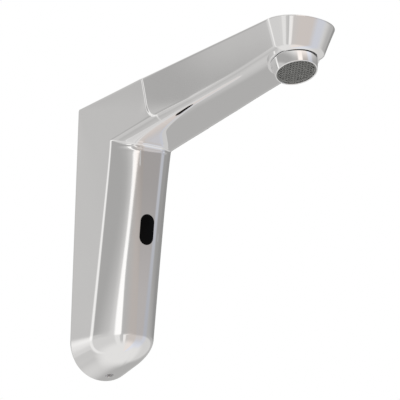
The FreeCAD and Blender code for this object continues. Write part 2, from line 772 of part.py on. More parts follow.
# ---- sensor, all on the window's axis -------------------------------------------------------
flange_half_width = window_half_width + flange_margin
flange_half_height = window_half_height + flange_margin + 0.4


def sensor_lens():
    plug = stadium(window_half_width - window_gap, window_half_height - window_gap, -lens_back - 0.5, -0.05)
    flange = stadium(flange_half_width, flange_half_height, -flange_depth, -lens_back)
    return at_sensor(plug.fuse(flange))


def sensor_gasket():
    ring = stadium(flange_half_width, flange_half_height, -lens_back, -pad_depth)
    return at_sensor(ring.cut(stadium(window_half_width, window_half_height, -lens_back - 1, 0)))


def sensor_housing():
    case = block((-8, 8), (-11.7, 11.7), (-housing_depth, -flange_depth))
    recess = block((-7, 7), (-10.8, 10.8), (-housing_depth - 1, -housing_depth + 1.6))
    case = case.cut(recess)
    for side in (-1, 1):
        case = case.cut(rod_z(diode_radius + 0.1, 0, side * diode_offset, (-housing_depth, 0)))
    return at_sensor(case)


def ir_diodes():
    diodes = []
    back = -housing_depth + 1.6
    dome_z = -flange_depth - diode_radius - 0.1
    for side in (-1, 1):
        can = rod_z(diode_radius, 0, side * diode_offset, (back, dome_z))
        dome = Part.makeSphere(diode_radius, vec(0, side * diode_offset, dome_z))
        cap = block((-5, 5), (-12, 12), (dome_z, 0))
        diodes.append(at_sensor(can.fuse(dome.common(cap))))
    return Part.makeCompound(diodes)


def sensor_board():
    return at_sensor(block((-6.85, 6.85), (-10.65, 10.65), (-housing_depth + 0.4, -housing_depth + 1.6)))


def sensor_bracket():
    strap = block((-6, 6), (-bracket_reach - 3.0, bracket_reach + 3.0), (-bracket_depth, -housing_depth))
    window = block((-3.4, 3.4), (-9, 9), (-bracket_depth - 1, -housing_depth + 1))
    strap = strap.cut(window)
    for side in (-1, 1):
        strap = strap.cut(rod_z(m3_radius + 0.15, 0, side * bracket_reach, (-30, 0)))
    return at_sensor(strap)


def bracket_screws():
    screws = []
    for side in (-1, 1):
        y = side * bracket_reach
        screw = small_screw(0, y, -bracket_depth - m3_head_height, 7.5, m3_radius, m3_head_radius, m3_head_height)
        screws.append(at_sensor(screw))
    return Part.makeCompound(screws)


# ---- control board and batteries ------------------------------------------------------------
def control_board():
    return block((-board_half_width, board_half_width), (board_y - board_thickness, board_y),
                 (board_low_z + 0.1, board_high_z))


connector_z = (-50.0, -45.0)


def board_parts():
    capacitor = rod_z(3.2, -7.5, board_y + 3.2, (-51.0, -43.0))
    battery_plug = block((3.5, 9.5), (board_y, board_y + 4.5), (connector_z[0] - 2.0, connector_z[0] + 1.5))
    coil_plug = block((-2.5, 2.5), (board_y, board_y + 3.6), (connector_z[0], connector_z[1] - 0.5))
    chip = block((-12.5, -6.5), (board_y - board_thickness - 1.0, board_y - board_thickness), (-33.0, -27.0))
    coil_driver = block((10.5, 13.0), (board_y, board_y + 1.5), (-40.0, -35.0))
    return Part.makeCompound([capacitor, battery_plug, coil_plug, chip, coil_driver])


def cell_places():
    first_y = case_back_y - 0.25 - cell_radius
    return [(side * cell_pitch_x / 2, first_y - row * cell_pitch_y, side * (1 - 2 * row))
            for row in (0, 1) for side in (-1, 1)]


contact_height = 1.2
cells_low_z = case_low_z + case_wall + contact_height


def battery_case():
    case = block((-case_half_width, case_half_width), (case_front_y, case_back_y), (case_low_z, case_high_z))
    room = block((-case_half_width + case_wall, case_half_width - case_wall),
                 (case_front_y + case_wall, case_back_y + 1), (case_low_z + case_wall, case_high_z - case_wall))
    return case.cut(room)


def battery_cover():
    cover = block((-case_half_width, case_half_width), (case_back_y, case_back_y + cover_plate),
                  (case_low_z, case_high_z))
    grip = [block((-6, 6), (case_back_y + cover_plate - 0.5, case_back_y + 5), (z, z + 1.2))
            for z in (-72.0, -69.0, -66.0)]
    return cut_all(cover, grip)


def battery_cells():
    cells = []
    for x, y, up in cell_places():
        low = cells_low_z if up > 0 else cells_low_z + nub_height
        cell = rod_z(cell_radius, x, y, (low, low + cell_length))
        nub = (low + cell_length, low + cell_length + nub_height) if up > 0 else (low - nub_height, low)
        cells.append(cell.fuse(rod_z(nub_radius, x, y, nub)))
    return Part.makeCompound(cells)


def battery_contacts():
    contacts = []
    floor_z = case_low_z + case_wall
    roof_z = case_high_z - case_wall
    cells_high_z = cells_low_z + cell_length + nub_height
    for x, y, up in cell_places():
        contacts.append(rod_z(3.0, x, y, (floor_z, cells_low_z)))
        contacts.append(rod_z(3.0, x, y, (cells_high_z, roof_z)))
    return Part.makeCompound(contacts)


def battery_lead():
    return rod_z(1.0, 6.5, board_y + 2.4, (case_high_z, connector_z[0] - 2.0))


def coil_lead():
    return rod_z(0.6, 0, solenoid_y - coil_radius + 0.9, (connector_z[1] - 0.5, coil_low_z))


def sensor_lead():
    start = at_sensor(Part.Vertex(0, 6.0, -housing_depth + 0.4)).Point
    return rod_y(0.9, 0, (start.y + 0.1, board_y - board_thickness), start.z)


PIECES = [body_shell, wall_plate, wall_gasket, lock_screw, inlet_tail, tail_o_ring, inlet_strainer,
          check_valve, valve_body, valve_cover, cover_screws, valve_piston, piston_seal, piston_spring,
          solenoid_tube, solenoid_core, plunger, plunger_seal, plunger_spring, solenoid_coil,
          solenoid_yoke, valve_screws, spout_tube, tube_o_rings, aerator_housing, aerator_washer,
          jet_former, aerator_screen, flow_regulator, sensor_lens, sensor_gasket, sensor_housing,
          ir_diodes, sensor_board, sensor_bracket, bracket_screws, control_board, board_parts,
          battery_case, battery_cover, battery_cells, battery_contacts, battery_lead, coil_lead,
          sensor_lead]

os.makedirs("parts", exist_ok=True)
for piece in PIECES:
    shape = piece()
    box = shape.BoundBox
    print("%-18s solids %d valid %s volume %.1f  x %.1f..%.1f y %.1f..%.1f z %.1f..%.1f" % (
        piece.__name__, len(shape.Solids), shape.isValid(), shape.Volume,
        box.XMin, box.XMax, box.YMin, box.YMax, box.ZMin, box.ZMax))
    shape.exportStep("parts/" + piece.__name__ + ".step")
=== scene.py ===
# %% [markdown]
# A sensor tap for a wall. One chromed casting makes the upright column and the level spout, a
# black window in the column's front hides the sensor, and an aerator hangs under the spout's tip.
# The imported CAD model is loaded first. It is the fixed frame: every piece made here sits where
# the CAD says, in metres, and moves with one of its bodies.

# %% Load the frame
import json
import math
import bmesh
import bpy
from mathutils import Matrix, Vector

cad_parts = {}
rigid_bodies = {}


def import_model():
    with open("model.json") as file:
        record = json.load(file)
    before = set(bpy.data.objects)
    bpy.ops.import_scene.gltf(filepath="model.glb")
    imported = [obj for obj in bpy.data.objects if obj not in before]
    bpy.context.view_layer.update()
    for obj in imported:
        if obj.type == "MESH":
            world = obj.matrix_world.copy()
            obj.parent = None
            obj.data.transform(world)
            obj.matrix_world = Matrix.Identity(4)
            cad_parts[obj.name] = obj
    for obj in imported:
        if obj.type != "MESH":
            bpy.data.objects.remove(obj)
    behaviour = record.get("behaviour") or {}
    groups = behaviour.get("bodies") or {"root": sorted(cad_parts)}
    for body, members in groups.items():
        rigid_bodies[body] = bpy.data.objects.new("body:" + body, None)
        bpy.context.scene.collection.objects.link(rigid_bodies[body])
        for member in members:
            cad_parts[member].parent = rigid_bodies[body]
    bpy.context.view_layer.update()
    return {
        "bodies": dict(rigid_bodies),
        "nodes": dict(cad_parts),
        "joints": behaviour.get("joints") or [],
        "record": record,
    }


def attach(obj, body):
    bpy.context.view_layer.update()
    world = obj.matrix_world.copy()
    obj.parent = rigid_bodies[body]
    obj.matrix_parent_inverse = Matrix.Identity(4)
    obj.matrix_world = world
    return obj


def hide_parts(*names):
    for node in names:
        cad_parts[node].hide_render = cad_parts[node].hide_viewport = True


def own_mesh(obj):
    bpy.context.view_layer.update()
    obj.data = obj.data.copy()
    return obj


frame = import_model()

nodes = frame["nodes"]
MM = 0.001

# %% [markdown]
# The camera is set as the photograph was taken: from the lower left, with a long lens, so that
# the column's left side and the spout's underside both show. Its three axes are built by hand,
# because the picture leans by a degree and a half.

# %% Camera
AZIMUTH, ELEVATION, LEAN = math.radians(-32.376), math.radians(-14.377), math.radians(1.445)
camera_back = Vector((math.sin(AZIMUTH) * math.cos(ELEVATION), -math.cos(AZIMUTH) * math.cos(ELEVATION),
                      math.sin(ELEVATION)))
level_right = Vector((math.cos(AZIMUTH), math.sin(AZIMUTH), 0))
level_up = camera_back.cross(level_right)
camera_right = level_right * math.cos(LEAN) + level_up * math.sin(LEAN)
camera_up = level_up * math.cos(LEAN) - level_right * math.sin(LEAN)
camera_place = Vector((0, -0.10727, -0.03006)) + camera_back * 0.89215

camera_data = bpy.data.cameras.new("camera")
camera_data.lens, camera_data.sensor_width = 139.7, 36.0
camera_data.clip_start, camera_data.clip_end = 0.05, 50.0
camera = bpy.data.objects.new("camera", camera_data)
axes = Matrix((camera_right, camera_up, camera_back)).transposed().to_4x4()
camera.matrix_world = Matrix.Translation(camera_place) @ axes
bpy.context.scene.collection.objects.link(camera)
bpy.context.scene.camera = camera
print("camera at", [round(v, 3) for v in camera_place])

# %% [markdown]
# Every finish here is a procedural material. What they share is a little unevenness: no cast,
# moulded or rolled surface is the same all over. So one node group is built once. It takes a
# colour, mottles it, and gives back a roughness that varies and a normal with fine grain.

# %% Helpers for node trees
def link_nodes(tree, kind, inputs=None, **settings):
    """Adds a node; inputs maps a socket's name or number to a value or to another socket."""
    node = tree.nodes.new(kind)
    for key, value in settings.items():
        setattr(node, key, value)
    for key, value in (inputs or {}).items():
        if isinstance(value, bpy.types.NodeSocket):
            tree.links.new(value, node.inputs[key])
        else:
            node.inputs[key].default_value = value
    return node


def math_node(tree, operation, *values):
    """Adds a Math node with its values in order, and returns its output."""
    return link_nodes(tree, "ShaderNodeMath", dict(enumerate(values)), operation=operation).outputs[0]


# %% The unevenness group
GRAIN_HEIGHT = 0.0002


def make_unevenness():
    """Group that turns a colour and a few amounts into a colour, a roughness and a normal."""
    tree = bpy.data.node_groups.new("unevenness", "ShaderNodeTree")
    sockets = [("Color", "NodeSocketColor", (0.5, 0.5, 0.5, 1.0)), ("Mottle", "NodeSocketFloat", 0.1),
               ("Scale", "NodeSocketFloat", 200.0), ("Roughness Low", "NodeSocketFloat", 0.3),
               ("Roughness High", "NodeSocketFloat", 0.4), ("Grain Scale", "NodeSocketFloat", 2000.0),
               ("Grain Depth", "NodeSocketFloat", 0.1)]
    for name, kind, value in sockets:
        socket = tree.interface.new_socket(name, in_out="INPUT", socket_type=kind)
        socket.default_value = value
    for name, kind in (("Color", "NodeSocketColor"), ("Roughness", "NodeSocketFloat"),
                       ("Normal", "NodeSocketVector")):
        tree.interface.new_socket(name, in_out="OUTPUT", socket_type=kind)
    given = tree.nodes.new("NodeGroupInput").outputs
    place = tree.nodes.new("ShaderNodeTexCoord").outputs["Object"]
    broad, fine = [
        link_nodes(tree, "ShaderNodeTexNoise", {"Vector": place, "Scale": scale, "Detail": detail})
        for scale, detail in ((given["Scale"], 3.0), (given["Grain Scale"], 2.0))]
    swing = math_node(tree, "SUBTRACT", broad.outputs[0], 0.5)
    factor = math_node(tree, "ADD", 1.0, math_node(tree, "MULTIPLY", swing, given["Mottle"]))
    coloured = link_nodes(tree, "ShaderNodeVectorMath", {0: given["Color"]}, operation="SCALE")
    tree.links.new(factor, coloured.inputs["Scale"])
    rough = link_nodes(tree, "ShaderNodeMapRange", {
        0: broad.outputs[0], 1: 0.3, 2: 0.7, 3: given["Roughness Low"], 4: given["Roughness High"]})
    bump = link_nodes(tree, "ShaderNodeBump", {
        "Height": fine.outputs[0], "Strength": given["Grain Depth"], "Distance": GRAIN_HEIGHT})
    out = tree.nodes.new("NodeGroupOutput")
    for name, socket in (("Color", coloured.outputs[0]), ("Roughness", rough.outputs[0]),
                         ("Normal", bump.outputs[0])):
        tree.links.new(socket, out.inputs[name])
    return tree


unevenness = make_unevenness()
print("group", unevenness.name, [s.name for s in unevenness.interface.items_tree])


# %% A finish from the group
def finish(name, color, metallic, rough, mottle, scale, grain, ior=1.45):
    """Material; rough is the roughness low and high, grain its scale and depth."""
    material = bpy.data.materials.new(name)
    material.use_nodes = True
    tree = material.node_tree
    shader = tree.nodes["Principled BSDF"]
    uneven = link_nodes(tree, "ShaderNodeGroup", node_tree=unevenness)
    values = {"Color": (*color, 1.0), "Mottle": mottle, "Scale": scale, "Roughness Low": rough[0],
              "Roughness High": rough[1], "Grain Scale": grain[0], "Grain Depth": grain[1]}
    for key, value in values.items():
        uneven.inputs[key].default_value = value
    shader.inputs["Metallic"].default_value = metallic
    shader.inputs["IOR"].default_value = ior
    tree.links.new(uneven.outputs["Color"], shader.inputs["Base Color"])
    tree.links.new(uneven.outputs["Roughness"], shader.inputs["Roughness"])
    tree.links.new(uneven.outputs["Normal"], shader.inputs["Normal"])
    return material


chrome = finish("polished_chrome", (0.93, 0.93, 0.935), 1.0, (0.035, 0.055), 0.01, 60.0, (900.0, 0.004))
print("finish", chrome.name)

# %% [markdown]
# The casting is the piece that the eye meets. Its column and spout blend into one another, and
# polished chrome shows the smallest wrong turn of a surface. So it isn't cut from blocks. It is
# woven as one net: straight lines run across the side view from the wall or the top to the
# front or the underside, and each line carries the same outline of points round the body.
# At the inner corner the lines fan out. Rows of their own close the foot, and a fan the nose.
# A depth, s, is counted from the wall forwards, and a height, z, from the inlet's axis.

# %% Sizes of the casting, in millimetres
TOP, FOOT, FOOT_RADIUS = 47.0, -100.0, 23.48
FOOT_BOW, FOOT_SHRINK, FOOT_POWER = 0.24, 0.47, 2.06
COLUMN_DEPTH, FRONT_LEAN = 43.4, 0.0742
ROOT_DEPTH, ROOT_HEIGHT, RISE_ANGLE = 51.9, 14.6, math.radians(5.5)
RISE = math.tan(RISE_ANGLE)
SAG = [(110.0, 0.0), (180.0, 0.6)]
SPOUT_END, NOSE, RAKE = 201.9, 17.0, 0.41
RIM_HALF, RIM_FLARE = 23.5, 1.4
SIDE_DRAFT, TOP_DRAFT, MELT = 0.14, [(50.0, 0.23), (170.0, 0.38)], 1.6
TAPER_START, SPOUT_TAPER, PANEL_FLOOR, PANEL_ROUND = 77.0, 3.6, 22.3, 9.0
PANEL_STEP, STEP_WIDTH, STEP_FADE = 0.28, 1.8, [(16.0, 0.0), (21.0, 1.0)]
CORNER_RADIUS, CORNER_TOP = 2.2, 14.9
EDGE_RADIUS, CORE_EDGE = 0.9, 0.12
print("column", TOP - FOOT + FOOT_RADIUS, "mm tall; spout", SPOUT_END + NOSE, "mm out")


# %% Curves through stops
def blend(value, stops):
    """Smooth step curve through (place, height) stops."""
    if value <= stops[0][0]:
        return stops[0][1]
    for (a, low), (b, high) in zip(stops, stops[1:]):
        if value <= b:
            t = (value - a) / (b - a)
            return low + (high - low) * t * t * (3 - 2 * t)
    return stops[-1][1]


def ramp(value, stops):
    """The same with straight runs."""
    if value <= stops[0][0]:
        return stops[0][1]
    for (a, low), (b, high) in zip(stops, stops[1:]):
        if value <= b:
            return low + (high - low) * (value - a) / (b - a)
    return stops[-1][1]


def front_depth(z):
    """Depth of the column's front at a height."""
    return COLUMN_DEPTH + FRONT_LEAN * (z - FOOT)


def under_height(s):
    """Height of the spout's underside at a depth."""
    return ROOT_HEIGHT + RISE * (s - ROOT_DEPTH) - blend(s, SAG)


print("front at the foot", front_depth(FOOT), "underside at the nose", round(under_height(SPOUT_END), 2))


# %% Side of the casting
def rim_half(s, z):
    """Half width where the side meets the wall or the top, with the panel's small step."""
    wide = RIM_HALF + RIM_FLARE * (z - FOOT) / (TOP - FOOT)
    low = min(max(PANEL_FLOOR + PANEL_ROUND - z, 0.0), PANEL_ROUND)
    start = TAPER_START + PANEL_ROUND - math.sqrt(PANEL_ROUND ** 2 - low ** 2)
    step = PANEL_STEP * blend(s, [(start, 0.0), (start + STEP_WIDTH, 1.0)]) * blend(z, STEP_FADE)
    return wide - step - SPOUT_TAPER * max(0.0, s - start) / (SPOUT_END - TAPER_START)


def side_half(s, z):
    """Half width of the side; it leans in from the wall and from the top, melted into one curve."""
    a = SIDE_DRAFT * max(s, 0.0) + 1e-6
    b = blend(s, TOP_DRAFT) * max(TOP - z, 0.0) + 1e-6
    return rim_half(s, z) - a * b / (a ** MELT + b ** MELT) ** (1 / MELT)


print("half width half way out", round(side_half(SPOUT_END / 2, 30.0), 2))


# %% Lines across the side view
COLUMN, FAN, SPOUT = "column", "fan", "spout"
COLUMN_LINES, WEB_LINES, ROOT_LINES = 55, 24, 36
SPOUT_LINES, PANEL_MARGIN = (14, 50, 116), 3.0


def body_lines(inset, back):
    """(where, inner end, outer end) of each line from foot to nose; where is its zone and place."""
    lean = math.atan(FRONT_LEAN)
    fan_z = CORNER_TOP - CORNER_RADIUS
    fan_s = front_depth(fan_z) + CORNER_RADIUS / math.cos(lean) - 0.3 * FRONT_LEAN
    top, wall = TOP - inset, -back
    lines = []
    last = fan_z + math.sin(lean) * CORNER_RADIUS
    for i in range(COLUMN_LINES + 1):
        z = FOOT + (last - FOOT) * i / COLUMN_LINES
        s = front_depth(z) - inset
        lift = blend(z, [(-60.0, 0.0), (last, math.tan(lean))])
        lines.append(((COLUMN, z), (s, z), (wall, z + (s - wall) * lift)))
    corner = math.atan2(top - fan_z, fan_s - wall)
    end = math.pi / 2 - RISE_ANGLE
    turns = [lean + (corner - lean) * i / WEB_LINES for i in range(1, WEB_LINES + 1)]
    turns += [corner + (end - corner) * i / ROOT_LINES for i in range(1, ROOT_LINES + 1)]
    near = CORNER_RADIUS + inset
    for turn in turns:
        c, n = math.cos(turn), math.sin(turn)
        far = min((fan_s - wall) / c, (top - fan_z) / n)
        lines.append(((FAN, math.degrees(turn)), (fan_s - near * c, fan_z + near * n),
                      (fan_s - far * c, fan_z + far * n)))
    start = lines[-1][1][0]
    depths = (start, TAPER_START - 1, TAPER_START + PANEL_ROUND + PANEL_MARGIN, SPOUT_END)
    stops = list(zip((0, *SPOUT_LINES), depths))
    for i in range(1, SPOUT_LINES[-1] + 1):
        s = ramp(i, stops)
        z = under_height(s) + inset
        lift = blend(s, [(start, math.tan(RISE_ANGLE)), (100.0, 0.0)])
        lines.append(((SPOUT, s), (s, z), (s - (top - z) * lift, top)))
    return lines


print("lines", len(body_lines(0.0, 0.0)))

# %% [markdown]
# The column's front and the spout's underside are rounded off into the sides. A bevel would give
# both the same arc, but the casting's arc changes: wide and soft at the foot, tight at the spout.
# So a superellipse does it, whose sizes follow a table. Where the column and the spout meet, the
# fuller of their two bodies wins, which leaves the crisp valley that the photograph shows.

# %% Rounding of the front and the underside
# Reach up the side, half width of the flat and squareness, at places along a zone.
COLUMN_TOP, SPOUT_ROOT = (17.7, 6.5, 1.9), (6.5, 6.5, 2.0)
ROUNDING = {
    COLUMN: [(FOOT, (23.0, 2.2, 2.0)), (12.0, COLUMN_TOP)],
    SPOUT: [(54.0, SPOUT_ROOT), (84.0, (6.0, 6.5, 2.0)), (120.0, (4.0, 6.0, 2.0)),
            (SPOUT_END, (4.0, 4.0, 2.0))],
}
CORE_FLAT, VALLEY = 0.3, 6.0


def rounding(where):
    """(reach up the side, flat half width, squareness) of the rounding on one line."""
    zone, place = where
    if zone == FAN:
        turn = math.radians(place)
        reach = min(COLUMN_TOP[0] / max(math.cos(turn), 0.1), SPOUT_ROOT[0] / math.sin(turn))
        return (reach, *COLUMN_TOP[1:])
    return [ramp(place, [(at, sizes[k]) for at, sizes in ROUNDING[zone]]) for k in range(3)]


def carve(half, distance, reach, flat, square):
    """How much narrower than its side the body is, at a distance in from front or underside."""
    if distance <= 0:
        return half - flat * max(0.0, 1 + distance / 2)
    left = max(0.0, 1 - distance / reach)
    return (half - flat) * (1 - (1 - left ** square) ** (1 / square))


def joint_carve(half, s, z, inset):
    """The same where column and spout meet: the fuller of the two bodies, melted softly."""
    bodies = ((front_depth(z) - s, COLUMN_TOP), (z - under_height(s), SPOUT_ROOT))
    a, b = [carve(half, distance - inset, reach - inset, flat - CORE_FLAT * inset, square)
            for distance, (reach, flat, square) in bodies]
    if min(a, b) < 1e-6:
        return 0.0
    return (a ** -VALLEY + b ** -VALLEY) ** (-1 / VALLEY)


print("rounding at the foot", rounding((COLUMN, FOOT)), "at the nose", rounding((SPOUT, SPOUT_END)))


# %% Outline carried by one line
FACE, EDGE, SIDE, ROUND, FLAT = 8, 5, 24, 22, 6


def half_outline(where, inner, outer, inset, edge):
    """Points (x, s, z) of the right half, from the outer face's middle to the inner face's."""
    depth, flat, square = rounding(where)
    run = Vector(outer) - Vector(inner)
    length = run.length
    run.normalize()

    def at(distance):
        p = Vector(inner) + run * distance
        return p.x, p.y

    def side(distance):
        s, z = at(distance)
        return side_half(s + inset, z) - inset

    depth = max(depth - inset, 1.0)
    flat = max(flat - CORE_FLAT * inset, 0.6)
    rim = side(length)
    points = [((rim - edge) * i / FACE, *at(length)) for i in range(FACE + 1)]
    for i in range(1, EDGE + 1):
        turn = math.pi / 2 * i / EDGE
        down = edge * (1 - math.cos(turn))
        points.append((side(length - down) - edge * (1 - math.sin(turn)), *at(length - down)))
    high = length - edge
    for i in range(1, SIDE + 1):
        d = high + (depth - high) * i / SIDE
        points.append((side(d), *at(d)))
    for i in range(1, ROUND + 1):
        turn = math.pi / 2 * i / ROUND
        d = depth * (1 - math.sin(turn) ** (2 / square))
        half = side(d)
        if where[0] == FAN:
            cut = joint_carve(half, *at(d), inset)
        else:
            cut = carve(half, max(d, 1e-9), depth, flat, square)
        points.append((half - cut, *at(d)))
    edge_x = points[-1][0]
    points += [(edge_x * (1 - i / FLAT), *at(0.0)) for i in range(1, FLAT + 1)]
    return points


print("points on an outline", FACE + 1 + EDGE + SIDE + ROUND + FLAT)

# %% [markdown]
# The foot is half round as seen from the front. Rows below the first line close it: each is
# narrower than the one above and draws back from the front, down to a keel. The nose is half
# round as seen from above. Its fan swings the last outline about an upright axis from the right
# side to the left, so that it leaves the spout without a kink.

# %% Weave the casting
FOOT_STEPS, NOSE_STEPS, NOSE_DROP = 28, 48, 33.0


def woven_body(name, inset=0.0, back=0.0):
    """The casting's closed net; inset makes it smaller all round, back lets it pass the wall plane."""
    half = []
    for where, inner, outer in body_lines(inset, back):
        on_top = outer[1] > TOP - inset - 0.01
        edge = EDGE_RADIUS if on_top and not inset else CORE_EDGE
        half.append(half_outline(where, inner, outer, inset, edge))
    count = len(half[0])
    mesh = bmesh.new()

    def vert(x, s, z):
        return mesh.verts.new((x * MM, -s * MM, z * MM))

    def both_sides(outline):
        """Right and left row of points; they share their first and last point."""
        right = [vert(*p) for p in outline]
        left = [vert(-x, s, z) for x, s, z in outline[1:-1]]
        return right, [right[0]] + left + [right[-1]]

    def sew(rows):
        """Faces between rows of points, which run from the foot's keel up and on to the nose."""
        for (right_a, left_a), (right_b, left_b) in zip(rows, rows[1:]):
            for i in range(count - 1):
                mesh.faces.new((right_a[i], right_a[i + 1], right_b[i + 1], right_b[i]))
                mesh.faces.new((left_a[i + 1], left_a[i], left_b[i], left_b[i + 1]))

    rings = [both_sides(outline) for outline in half]
    sew(rings)

    def swing(first, last, steps, place):
        """Closes an end: fans of points between the right and the left half outline."""
        fans = [first]
        for j in range(1, steps):
            turn = math.pi * j / steps
            row = [first[0]] + [vert(*place(i, turn)) for i in range(1, count - 1)] + [first[-1]]
            fans.append(row)
        fans.append(last)
        for a, b in zip(fans, fans[1:]):
            for i in range(count - 1):
                corners = []
                for v in (a[i], a[i + 1], b[i + 1], b[i]):
                    if v not in corners:
                        corners.append(v)
                if len(corners) > 2:
                    mesh.faces.new(corners)

    def foot_rows(steps, outline):
        """Rows below the first line: they narrow to a keel and draw back from the front."""
        front = max(p[1] for p in outline)
        rows = [rings[0]]
        for j in range(1, steps + 1):
            turn = math.pi / 2 * j / steps
            narrow = max(math.cos(turn), 0.0) ** (2 / FOOT_POWER)
            down = math.sin(turn) ** (2 / FOOT_POWER)
            row = []
            for x, s, z in outline:
                deep = max(s, 0.0)
                new = s - deep * FOOT_SHRINK * (1 - narrow)
                drop = (FOOT_RADIUS - inset - FOOT_BOW * max(new, 0.0)) * down
                row.append((x * narrow, new - FRONT_LEAN * drop * deep / front, z - drop))
            rows.append(both_sides(row))
        sew(rows[::-1])

    def nose(i, turn):
        """Place of point i of the last outline, swung by a turn; the nose rakes back as it drops."""
        x, s, z = half[-1][i]
        drop = TOP - z
        part = x / (side_half(s, z) - inset)
        reach = part * (NOSE - RAKE * drop - inset) * math.sin(turn)
        return x * math.cos(turn), s + reach, z + RISE * reach * max(0.0, drop / NOSE_DROP)

    foot_rows(FOOT_STEPS, half[0])
    swing(*rings[-1], NOSE_STEPS, nose)
    bmesh.ops.remove_doubles(mesh, verts=mesh.verts, dist=1e-7)
    bmesh.ops.recalc_face_normals(mesh, faces=mesh.faces)
    data = bpy.data.meshes.new(name)
    mesh.to_mesh(data)
    mesh.free()
    piece = bpy.data.objects.new(name, data)
    bpy.context.scene.collection.objects.link(piece)
    return piece


body = woven_body("body_casting")
print("casting", len(body.data.polygons), "faces")

# %% [markdown]
# The real casting is hollow. A second net, one wall's thickness further in, is the core that
# the foundry would put in the mould. It is taken away with a Boolean modifier, and so are the
# window, the aerator's seat and thread, the water way and the hole for the lock screw. Pads and
# sockets are joined on where something inside is fixed. The tools are small meshes of their own.

# %% Frames on the casting
def along(axis, x, y, z):
    """Frame whose z runs along the given axis, Y or Z, at a place in millimetres."""
    turn = {"Y": Matrix.Rotation(-math.pi / 2, 4, "X"), "Z": Matrix.Identity(4)}[axis]
    return Matrix.Translation(Vector((x, y, z)) * MM) @ turn


WALL = 3.2
WINDOW_Z = -36.55
OUTLET_Y, OUTLET_Z, OUTLET_TILT = -200.2, 21.25, 18.0
SENSOR = (Matrix.Translation(Vector((0, -front_depth(WINDOW_Z), WINDOW_Z)) * MM)
          @ Matrix.Rotation(math.pi / 2 + math.atan(FRONT_LEAN), 4, "X"))
OUTLET = (Matrix.Translation(Vector((0, OUTLET_Y, OUTLET_Z)) * MM)
          @ Matrix.Rotation(math.radians(-OUTLET_TILT), 4, "X"))
TUBE, LOCK = along("Y", 0, 0, 36.8), along("Z", 0, -9.0, 0)
print("outlet", OUTLET_Y, OUTLET_Z, "mm, window", WINDOW_Z, "mm")


# %% Stacked rings and turned shapes
def stack(name, rings, frame, loop=False):
    """Mesh from rings of points (x, y, z) in millimetres; ends are capped unless it is a loop."""
    mesh = bmesh.new()
    rows = [[mesh.verts.new(frame @ (Vector(p) * MM)) for p in ring] for ring in rings]
    count = len(rows[0])
    pairs = list(zip(rows, rows[1:])) + ([(rows[-1], rows[0])] if loop else [])
    for low, high in pairs:
        for i in range(count):
            k = (i + 1) % count
            mesh.faces.new((low[i], low[k], high[k], high[i]))
    if not loop:
        mesh.faces.new(list(reversed(rows[0])))
        mesh.faces.new(rows[-1])
    bmesh.ops.recalc_face_normals(mesh, faces=mesh.faces)
    data = bpy.data.meshes.new(name)
    mesh.to_mesh(data)
    mesh.free()
    piece = bpy.data.objects.new(name, data)
    bpy.context.scene.collection.objects.link(piece)
    return piece


def turned(name, profile, frame, loop=False, segments=96):
    """Lathe work: profile is a list of (radius, height)."""
    rings = []
    for radius, height in profile:
        turns = [2 * math.pi * i / segments for i in range(segments)]
        rings.append([(radius * math.cos(t), radius * math.sin(t), height) for t in turns])
    return stack(name, rings, frame, loop)


def pill(name, levels, frame, half_width, half_height, segments=24):
    """Upright pill; levels is a list of (inset, height)."""
    rings = []
    for inset, height in levels:
        radius, straight = half_width - inset, half_height - half_width
        ring = []
        for end in (1, -1):
            for i in range(segments + 1):
                turn = math.pi * i / segments + (0 if end > 0 else math.pi)
                ring.append((radius * math.cos(turn), end * straight + radius * math.sin(turn), height))
        rings.append(ring)
    return stack(name, rings, frame)


def rod(radius, low, high, frame, segments=48):
    return turned("tool", [(radius, low), (radius, high)], frame, segments=segments)


# %% Boolean work
def combine(piece, steps):
    """Runs (operation, tool) steps on the piece, keeps the result as its mesh, drops the tools."""
    for operation, tool in steps:
        modifier = piece.modifiers.new("step", "BOOLEAN")
        modifier.operation, modifier.object, modifier.solver = operation, tool, "EXACT"
    graph = bpy.context.evaluated_depsgraph_get()
    plain = bpy.data.meshes.new_from_object(piece.evaluated_get(graph))
    piece.modifiers.clear()
    old, piece.data = piece.data, plain
    bpy.data.meshes.remove(old)
    for operation, tool in steps:
        bpy.data.objects.remove(tool)
    return piece


def smooth(piece, angle=35):
    for polygon in piece.data.polygons:
        polygon.use_smooth = True
    piece.data.set_sharp_from_angle(angle=math.radians(angle))
    return piece


# %% Hollow the casting
JOIN, CUT = "UNION", "DIFFERENCE"
PAD, WINDOW_HOLE = (9.0, 13.5), (4.85, 9.45)
SOCKET, TUBE_HOLE, WATER_HOLE = 7.4, 4.55, 3.5
BOSS, SEAT, THREAD, CHAMBER = 14.3, 13.35, 12.0, 9.0
SEAT_TOP, LOCK_TIP, LOCK_HOLE = 7.45, -111.6, 2.55
steps = [(CUT, woven_body("core", inset=WALL, back=2.0)),
         (JOIN, pill("tool", [(0, -4.4), (0, -1.2)], SENSOR, *PAD)),
         (JOIN, rod(SOCKET, -192.0, -171.0, TUBE)),
         (JOIN, rod(BOSS, SEAT_TOP, 20.0, OUTLET, 96)),
         (CUT, pill("tool", [(0, -20), (0, 5)], SENSOR, *WINDOW_HOLE, 32)),
         (CUT, rod(SEAT, -5, SEAT_TOP, OUTLET, 96)),
         (CUT, rod(THREAD, -4, 15.3, OUTLET, 96)),
         (CUT, rod(CHAMBER, 0, 18.0, OUTLET, 64)),
         (CUT, rod(TUBE_HOLE, -182.5, -170.0, TUBE)),
         (CUT, rod(WATER_HOLE, -192.5, -171.0, TUBE)),
         (CUT, rod(LOCK_HOLE, -140, LOCK_TIP, LOCK))]
combine(body, steps)
print("casting after the Booleans", len(body.data.polygons), "faces")

# %% Finish the casting
body.data.materials.clear()
body.data.materials.append(chrome)
smooth(body)
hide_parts("body_shell")
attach(body, "tap")
print("casting rides the tap body in", body.data.materials[0].name)

